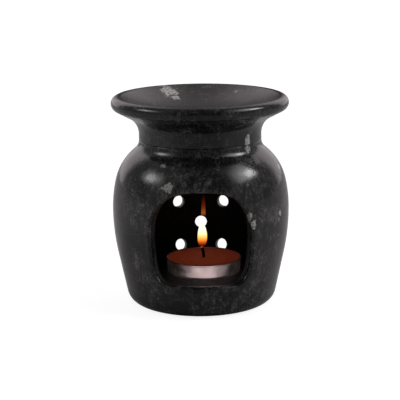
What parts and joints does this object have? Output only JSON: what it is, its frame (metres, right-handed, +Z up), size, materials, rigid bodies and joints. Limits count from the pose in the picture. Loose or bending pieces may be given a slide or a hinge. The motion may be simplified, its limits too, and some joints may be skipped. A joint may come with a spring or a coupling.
{
  "type": "essential oil burner",
  "caption": "Turned polished stone oil burner: hollow pot with an arched window and back vents, lift-off dish with a shallow bowl, and a tealight that slides out of the window.",
  "frame": {"origin": "on the table, under the middle of the pot", "axes": "+Z up along the axis of the turned pot and dish, -Y towards the window, +X to the viewer's right"},
  "size_m": [0.0878, 0.0877, 0.1038],
  "materials": {
    "pot_stone": "polished",
    "dish_stone": "polished",
    "cup_metal": "bright drawn",
    "wax": "satin wax",
    "tab_metal": "pressed",
    "wick": "waxed braid, charred at its free end"
  },
  "bodies": {
    "burner": {"burner_body": "pot_stone"},
    "dish": {"oil_dish": "dish_stone"},
    "tealight": {"tealight_cup": "cup_metal", "tealight_wax": "wax", "wick_tab": "tab_metal", "tealight_wick": "wick"}
  },
  "joints": [
    {"name": "dish_lift", "type": "slide", "parent": "burner", "child": "dish", "axis": [0, 0, 1], "range_m": [0, 0.05]},
    {"name": "tealight_out", "type": "slide", "parent": "burner", "child": "tealight", "axis": [0, -0.9659, 0.2588], "range_m": [0, 0.09]}
  ]
}
